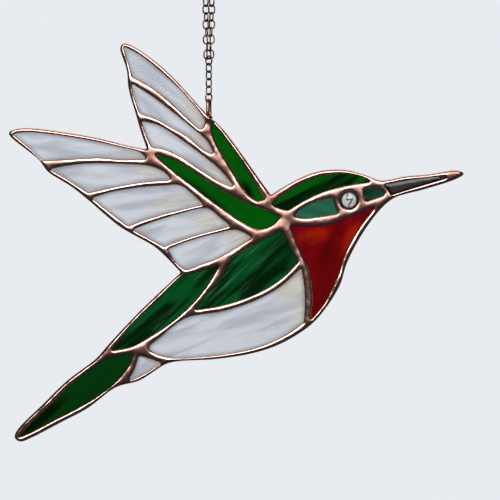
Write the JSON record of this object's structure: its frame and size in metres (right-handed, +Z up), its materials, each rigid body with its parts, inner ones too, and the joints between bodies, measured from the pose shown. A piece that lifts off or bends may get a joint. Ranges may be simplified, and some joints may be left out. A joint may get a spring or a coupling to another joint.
{
  "type": "stained glass suncatcher",
  "caption": "Stained glass hummingbird in flight, flat panes held by a net of rounded solder beads, hung from a copper loop on a fine chain that ends in a round ring.",
  "frame": {"origin": "the top of the hanging ring's inside, where a nail or hook carries the whole piece", "axes": "+Z up along the chain; +X the way the beak points; -Y out of the front of the glass towards the viewer"},
  "size_m": [0.1819, 0.0067, 0.1912],
  "materials": {
    "white_glass": "wispy opal sheet glass, smooth and glossy",
    "dark_green_glass": "deep green cathedral glass with darker streaks, glossy",
    "streaky_green_glass": "green sheet glass with light wispy streaks, glossy",
    "teal_glass": "plain teal sheet glass, glossy",
    "red_glass": "red sheet glass with orange clouds, glossy",
    "black_glass": "black opaque sheet glass, polished",
    "clear_glass": "clear round jewel, polished",
    "solder": "rounded solder beads with a glossy copper patina, mottled dark in the wide places",
    "copper_wire": "copper wire, bright on its ridges and dark in its folds",
    "chain_bronze": "antiqued bronze wire, glossy where it is rubbed"
  },
  "bodies": {
    "root": {"far_wing_feather_1": "white_glass", "far_wing_feather_2": "white_glass", "far_wing_feather_3": "white_glass", "near_wing_feather_1": "white_glass", "near_wing_feather_2": "white_glass", "near_wing_feather_3": "white_glass", "near_wing_feather_4": "white_glass", "near_wing_feather_5": "white_glass", "belly": "white_glass", "undertail": "white_glass", "far_wing_covert": "dark_green_glass", "near_wing_covert": "dark_green_glass", "tail": "dark_green_glass", "crown": "streaky_green_glass", "back": "streaky_green_glass", "rump": "streaky_green_glass", "cheek": "teal_glass", "lore": "teal_glass", "throat": "red_glass", "beak": "black_glass", "eye_jewel": "clear_glass", "solder_net": "solder", "hanging_loop": "copper_wire", "chain_lower_1": "chain_bronze", "chain_lower_2": "chain_bronze", "chain_lower_3": "chain_bronze", "chain_lower_4": "chain_bronze", "chain_lower_5": "chain_bronze", "chain_joining_link": "chain_bronze", "chain_left_1": "chain_bronze", "chain_left_2": "chain_bronze", "chain_left_3": "chain_bronze", "chain_left_4": "chain_bronze", "chain_left_5": "chain_bronze", "chain_left_6": "chain_bronze", "chain_left_7": "chain_bronze", "chain_left_8": "chain_bronze", "chain_left_9": "chain_bronze", "chain_right_1": "chain_bronze", "chain_right_2": "chain_bronze", "chain_right_3": "chain_bronze", "chain_right_4": "chain_bronze", "chain_right_5": "chain_bronze", "chain_right_6": "chain_bronze", "chain_right_7": "chain_bronze", "chain_right_8": "chain_bronze", "chain_right_9": "chain_bronze", "hanging_ring": "chain_bronze"}
  },
  "joints": []
}
